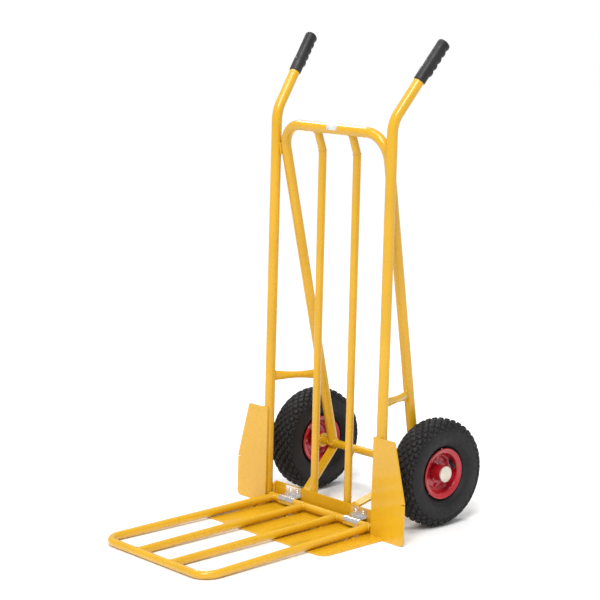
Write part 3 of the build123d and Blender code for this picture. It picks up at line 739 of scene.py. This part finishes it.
def grip_radius(along, turn):
    """The grip's outer radius at a length and an angle from its underside."""
    body = GRIP_R - COLLAR_STEP * smoothstep(along, COLLAR_LENGTH, COLLAR_LENGTH + 1.2 * MM)
    body = body - LIP * (1 - smoothstep(along, -0.2 * MM, LIP))
    swell = np.zeros_like(along)
    for i in range(SWELL_COUNT):
        from_centre = along - (GRIP_LENGTH - LAST_SWELL - SWELL_PITCH * i)
        ball = np.sqrt(np.clip(SWELL_R ** 2 - from_centre ** 2, 0, None))
        inside = np.clip(ball ** 2 - (SWELL_OUT * np.sin(turn)) ** 2, 0, None)
        swell = np.maximum(swell, (SWELL_OUT * np.cos(turn) + np.sqrt(inside)) * (ball > 0))
    # soft blend of the sleeve and its swells
    outer = np.maximum(body, swell)
    outer = outer + 0.4 * SWELL_BLEND * np.exp(-((body - swell) / SWELL_BLEND) ** 2)
    to_end = np.clip((along - (GRIP_LENGTH - GRIP_END_R)) / GRIP_END_R, 0, 1)
    return outer - GRIP_END_R * (1 - np.sqrt(1 - to_end ** 2))


def make_grip_mesh(side):
    """A grip on its handle's end: outside, rounded end, and the bore that the handle fills."""
    handle = Vector((side * HANDLE_OUT, HANDLE_BACK, 1)).normalized()
    start = upright_point(side, HANDLE_CORNER_Z) + handle * GRIP_START
    lengths = np.r_[np.arange(0, GRIP_LENGTH - GRIP_END_R, 1.0 * MM),
                    GRIP_LENGTH - GRIP_END_R * (1 - np.sin(np.linspace(0, math.pi / 2, 12)))]
    turns = np.linspace(0, 2 * math.pi, 96, endpoint=False)
    along = np.tile(lengths, (len(turns), 1))
    radii = grip_radius(along, turns[:, None])
    radii = np.hstack([radii, np.zeros((len(turns), 2)), np.full((len(turns), 2), BORE_R)])
    along = np.hstack([along, np.tile([GRIP_LENGTH, BORE_DEPTH, BORE_DEPTH, 0], (len(turns), 1))])
    points = np.stack([radii * np.cos(turns)[:, None], radii * np.sin(turns)[:, None], along], axis=-1)
    mesh = grid_mesh("grip_mesh", points, True, True)
    under = Vector((0, 1, 0)).cross(Vector((1, 0, 0)))
    under = (under - handle * under.dot(handle)).normalized()
    turned = Matrix((under, handle.cross(under), handle)).transposed().to_4x4()
    mesh.transform(Matrix.Translation(start) @ turned)
    bm = bmesh.new()
    bm.from_mesh(mesh)
    bmesh.ops.remove_doubles(bm, verts=bm.verts, dist=SAME_PLACE)
    bmesh.ops.dissolve_degenerate(bm, edges=bm.edges, dist=0.1 * SAME_PLACE)
    bmesh.ops.recalc_face_normals(bm, faces=bm.faces)
    bm.to_mesh(mesh)
    bm.free()
    return mesh


for side_name, side in SIDES.items():
    make_object(f"{side_name}_grip_moulded", make_grip_mesh(side), "grip", "frame", f"{side_name}_grip")


# ---------------------------------------------------------------- rivets
SADDLE_X, RIVET_SPREAD, RIVET_Z = 0.118, 0.013, 0.041
RIVET_R, RIVET_HIGH = 4.6 * MM, 2.4 * MM
SHANK, TAIL_R = 2.4 * MM, 3.7 * MM
FLANGE_T, SADDLE_T = 4 * MM, 2.02 * MM
rivet_front = FLANGE_BACK - FLANGE_T - SADDLE_T
flange_rear = rivet_front - FLANGE_BACK
dome = [(RIVET_HIGH * math.cos(a), RIVET_R * math.sin(a)) for a in np.linspace(0, math.pi / 2, 9)]
tail = [(0.0, SHANK), (flange_rear, SHANK), (flange_rear, TAIL_R), (flange_rear - 1.0 * MM, 3.3 * MM),
        (flange_rear - 1.6 * MM, 2.2 * MM), (flange_rear - 1.6 * MM, 0.0)]
rivets = []
for side in SIDES.values():
    for spread in (-RIVET_SPREAD, RIVET_SPREAD):
        place = Vector((side * SADDLE_X + spread, rivet_front, RIVET_Z))
        rivets.append(pointed(lathe("rivet", dome + tail, 40), place, (0, -1, 0)))
make_object("hinge_rivets_domed", join_meshes("hinge_rivets_domed", rivets), "zinc", "frame", "hinge_rivets")


# ---------------------------------------------------------------- welds
SLIM_RING, TUBE_RING = (SLIM_R, SLIM_R), (TUBE_R, TUBE_R)
STAY_RING = (STAY_THIN, STAY_HIGH)
CROSS = Vector((0, BOW_TOP_Y, BOW_TOP_Z))
X_DIR = Vector((1, 0, 0))
UPRIGHT_DIR = Vector((0, LEAN, 1))
RAIL_LEAN = 0.0312
RAIL_DIR = Vector((0, RAIL_LEAN, 1)).normalized()
FLOOR_GAP = 2.6 * MM
RING_ANGLES = np.linspace(0, 2 * math.pi, 60, endpoint=False)


def ring_about_x(hub, radius):
    """Points on a circle about a line along X."""
    return [hub + Vector((0, radius * math.cos(a), radius * math.sin(a))) for a in RING_ANGLES]


# From here each function gives one side's beads of a piece, as (points, radius, closed).
def rail_top_welds(side):
    """An inner rail's joint with the bow's top bar, and the seam round the rail's upper bend."""
    seam_shift = Vector((0, -0.6 * MM, 0))
    bend = Vector((side * RAIL_X, RAIL_BEND_Y, RAIL_BEND_Z))
    run = Vector((side * RAIL_X, RAIL_TOP_Y, BOW_TOP_Z)) - bend
    tilt = (run.normalized() + RAIL_DIR).normalized().to_track_quat("Z", "Y")
    seam = [bend + seam_shift + tilt @ Vector((SLIM_R * math.cos(a), SLIM_R * math.sin(a), 0))
            for a in RING_ANGLES]
    joint = joint_ring(bend, run, SLIM_RING, CROSS, X_DIR, TUBE_R)
    return [(joint, 2.2 * MM, True), (seam, 1.5 * MM, True)]


def rail_foot_welds(side):
    """A seam on each side of an inner rail, down the back of the flange."""
    from_middle, low_z, high_z = 6.2 * MM, 8 * MM, 50 * MM
    low_gap, high_gap = 1.6 * MM, 2.4 * MM
    seams = []
    for edge in (-1, 1):
        x = side * RAIL_X + edge * from_middle
        ends = [(x, FLANGE_BACK + low_gap, low_z), (x, FLANGE_BACK + high_gap, high_z)]
        seams.append((ends, 2.6 * MM, False))
    return seams


def bow_foot_welds(side):
    """A bow leg's joint with the axle."""
    above = leg_point(side, AXLE.z + 0.1)
    down = leg_point(side, AXLE.z) - above
    return [(joint_ring(above, down, TUBE_RING, AXLE, X_DIR, AXLE_R), 2.6 * MM, True)]


def bow_shoulder_welds(side):
    """Seams before and behind the place where a bow leg and an upright almost touch."""
    low_z, high_z, from_middle = 0.866, 0.896, 6.6 * MM
    seams = []
    for edge in (-1, 1):
        ends = []
        for z in (low_z, high_z):
            upright, leg = upright_point(side, z), leg_point(side, z)
            between = leg - upright
            notch = Vector((between.y, -between.x, 0)).normalized() * edge * from_middle
            ends.append((upright + leg) / 2 + notch)
        seams.append((ends, 2.6 * MM, False))
    return seams


def stay_welds(side):
    """Both ends of a stay."""
    front, rear = upright_point(side, STAY_Z_FRONT), leg_point(side, STAY_Z_REAR)
    middle = (front + rear) / 2
    leg_dir = leg_point(side, BOW_TOP_Z) - leg_point(side, AXLE.z)
    joints = []
    for end, tube_dir in ((front, UPRIGHT_DIR), (rear, leg_dir)):
        joints.append((joint_ring(middle, end - middle, STAY_RING, end, tube_dir, TUBE_R), 2.0 * MM, True))
    return joints


def brace_welds(side):
    """Seams across a brace: two at the flange, and two where it meets the axle."""
    half = 12.5 * MM
    flange_x, flange_y, flange_heights = 0.082, FLANGE_BACK + 0.6 * MM, (36.6 * MM, 44.6 * MM)
    axle_x, axle_places = 0.147, ((8.0 * MM, -7.6 * MM), (-2.0 * MM, -11.4 * MM))
    seams = []
    for z in flange_heights:
        ends = [(side * flange_x + step, flange_y, z) for step in (-half, half)]
        seams.append((ends, 2.2 * MM, False))
    for behind, above in axle_places:
        ends = [(side * axle_x + step, AXLE.y + behind, AXLE.z + above) for step in (-half, half)]
        seams.append((ends, 2.6 * MM, False))
    return seams


def guard_welds(side):
    """Seams along a guard's top edge at the upright, and where its front meets the toe plate."""
    back = UPRIGHT_FOOT_Y - TUBE_R
    top_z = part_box("right_wheel_guard")[1].z
    plate_rear, plate_top = back - 4.4 * MM, 4.3 * MM
    bead_r, top_ends, plate_ends = 2.2 * MM, (0.193, 0.211), ((0.192, 0.206), (0.214, 0.229))
    top = [(side * x, back + LEAN * top_z + 0.2 * MM, top_z - 0.6 * MM) for x in top_ends]
    seams = [(top, bead_r, False)]
    for pair in plate_ends:
        seams.append(([(side * x, plate_rear, plate_top) for x in pair], bead_r, False))
    return seams


def flange_end_welds(side):
    """The fill between an upright and the end of the flange."""
    end_x, fill, low_z, high_z, mid_z = 0.1884, 3.4 * MM, 5 * MM, 49 * MM, 0.03
    corner = Vector((side * end_x, FLANGE_BACK - FLANGE_T, 0))
    away = (corner - Vector((side * UPRIGHT_X, upright_point(side, mid_z).y, 0))).normalized()
    seam = corner - away * fill
    return [([(seam.x, seam.y, low_z), (seam.x, seam.y, high_z)], 4.2 * MM, False)]


def collar_welds(side):
    """The inner seam of a collar on the axle."""
    collar_end_x, seam_r = 0.1815, 11.2 * MM
    hub = Vector((side * collar_end_x, AXLE.y, AXLE.z))
    return [(ring_about_x(hub, seam_r), 1.8 * MM, True)]


def folding_frame_welds(side):
    """The joints of the arm and the rail with the pivot tube, and of the rail with the front bar."""
    arm_front = Vector((side * FOLD_FRONT_X, FOLD_FRONT_Y, FOLD_FRONT_Z))
    arm_rear = Vector((side * FOLD_REAR_X, PIVOT.y, PIVOT.z))
    rail_front = Vector((side * RAIL_X, FOLD_FRONT_Y, FOLD_FRONT_Z))
    rail_rear = Vector((side * RAIL_X, PIVOT.y, PIVOT.z))
    joints = []
    for start, end in ((arm_front, arm_rear), (rail_front, rail_rear), (rail_rear, rail_front)):
        joint = joint_ring(start, end - start, SLIM_RING, end, X_DIR, SLIM_R)
        joint = [Vector((point.x, point.y, max(point.z, FLOOR_GAP))) for point in joint]
        joints.append((joint, 2.0 * MM, True))
    return joints


WELDS = {
    "rail_top_welds": ("frame", rail_top_welds),
    "rail_foot_welds": ("frame", rail_foot_welds),
    "bow_foot_welds": ("frame", bow_foot_welds),
    "bow_shoulder_welds": ("frame", bow_shoulder_welds),
    "stay_welds": ("frame", stay_welds),
    "brace_welds": ("frame", brace_welds),
    "guard_welds": ("frame", guard_welds),
    "flange_end_welds": ("frame", flange_end_welds),
    "collar_welds": ("frame", collar_welds),
    "folding_frame_welds": ("toe_frame", folding_frame_welds),
}
for weld_name, (body, beads_of) in WELDS.items():
    add_beads(weld_name, body, [one for side in SIDES.values() for one in beads_of(side)])


# ---------------------------------------------------------------- softened plate edges
EDGE_R = 0.5 * MM
MERGE = 0.01 * MM
plates = [name for name in NODES if name == "toe_plate" or "guard" in name or "brace" in name]
for node_name in plates:
    node = NODES[node_name]
    weld = node.modifiers.new("merge", "WELD")
    weld.merge_threshold = MERGE
    bevel = node.modifiers.new("edge", "BEVEL")
    bevel.width = EDGE_R
    bevel.segments = 3
    bevel.limit_method = "ANGLE"
    bevel.angle_limit = math.radians(50)
    bevel.harden_normals = True


# ---------------------------------------------------------------- camera, floor and lights
AZIMUTH, ELEVATION = math.radians(48.56), math.radians(10.56)
TARGET = Vector((0, -0.060, 0.546))
DISTANCE = 4.606


def direction(azimuth, elevation):
    """From the object towards a viewer; azimuth 0 looks along +Y."""
    return Vector((math.sin(azimuth) * math.cos(elevation), -math.cos(azimuth) * math.cos(elevation),
                   math.sin(elevation)))


def add_camera():
    """The camera at the photo's angle and distance."""
    data = bpy.data.cameras.new("camera")
    data.lens = 117.6
    data.sensor_width = 36.0
    data.clip_end = 60.0
    camera = bpy.data.objects.new("camera", data)
    view = direction(AZIMUTH, ELEVATION)
    camera.location = TARGET + view * DISTANCE
    camera.rotation_euler = view.to_track_quat("Z", "Y").to_euler()
    bpy.context.scene.collection.objects.link(camera)
    bpy.context.scene.camera = camera


def add_floor():
    """A plain white floor, set a little below the object's lowest point."""
    reach, drop = 14.0, 0.5 * MM
    corners = [(-reach, -reach, 0), (reach, -reach, 0), (reach, reach, 0), (-reach, reach, 0)]
    mesh = bpy.data.meshes.new("floor")
    mesh.from_pydata(corners, [], [(0, 1, 2, 3)])
    floor = bpy.data.objects.new("floor", mesh)
    floor.location.z = -drop
    m = Mat("studio_floor", Roughness=0.95, Specular_IOR_Level=0.05)
    paper = m.noise(3.0, 2.0)
    m.colour(m.ramp(paper, "Fac", [(0.3, (0.975, 0.975, 0.975)), (0.7, (0.985, 0.985, 0.985))]))
    mesh.materials.append(m.material)
    bpy.context.scene.collection.objects.link(floor)
    floor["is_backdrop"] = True


def add_light(name, position, target, size_x, size_y, power):
    """A rectangular softbox that faces its target."""
    data = bpy.data.lights.new(name, "AREA")
    data.shape = "RECTANGLE"
    data.size, data.size_y = size_x, size_y
    data.energy = power
    light = bpy.data.objects.new(name, data)
    light.location = position
    light.rotation_euler = (Vector(position) - Vector(target)).to_track_quat("Z", "Y").to_euler()
    bpy.context.scene.collection.objects.link(light)


def add_sun(azimuth, elevation, strength, spread):
    """A distant soft lamp, by its azimuth, elevation and angular size in degrees."""
    data = bpy.data.lights.new("sun", "SUN")
    data.energy = strength
    data.angle = math.radians(spread)
    light = bpy.data.objects.new("sun", data)
    towards = direction(math.radians(azimuth), math.radians(elevation))
    light.rotation_euler = towards.to_track_quat("Z", "Y").to_euler()
    bpy.context.scene.collection.objects.link(light)


def add_world():
    """A white backdrop that looks brighter than the light it gives."""
    world = bpy.data.worlds.new("studio")
    world.use_nodes = True
    tree = world.node_tree
    background = tree.nodes["Background"]
    background.inputs["Color"].default_value = (1, 1, 1, 1)
    path = tree.nodes.new("ShaderNodeLightPath")
    light_on_object, seen_by_camera = 0.55, 1.02
    strength = tree.nodes.new("ShaderNodeMapRange")
    strength.inputs["To Min"].default_value = light_on_object
    strength.inputs["To Max"].default_value = seen_by_camera
    tree.links.new(path.outputs["Is Camera Ray"], strength.inputs["Value"])
    tree.links.new(strength.outputs["Result"], background.inputs["Strength"])
    bpy.context.scene.world = world


add_camera()
add_floor()
add_world()
add_sun(azimuth=35, elevation=50, strength=2.0, spread=25)
add_light("overhead_strip", (0.2, -0.5, 3.0), (0, 0, 0.4), size_x=2.4, size_y=0.30, power=25)
add_light("rear_left_box", (-2.2, 0.75, 2.8), (0, 0, 0.8), size_x=0.9, size_y=0.32, power=34)
bpy.context.scene.view_settings.view_transform = "Standard"

low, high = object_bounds()
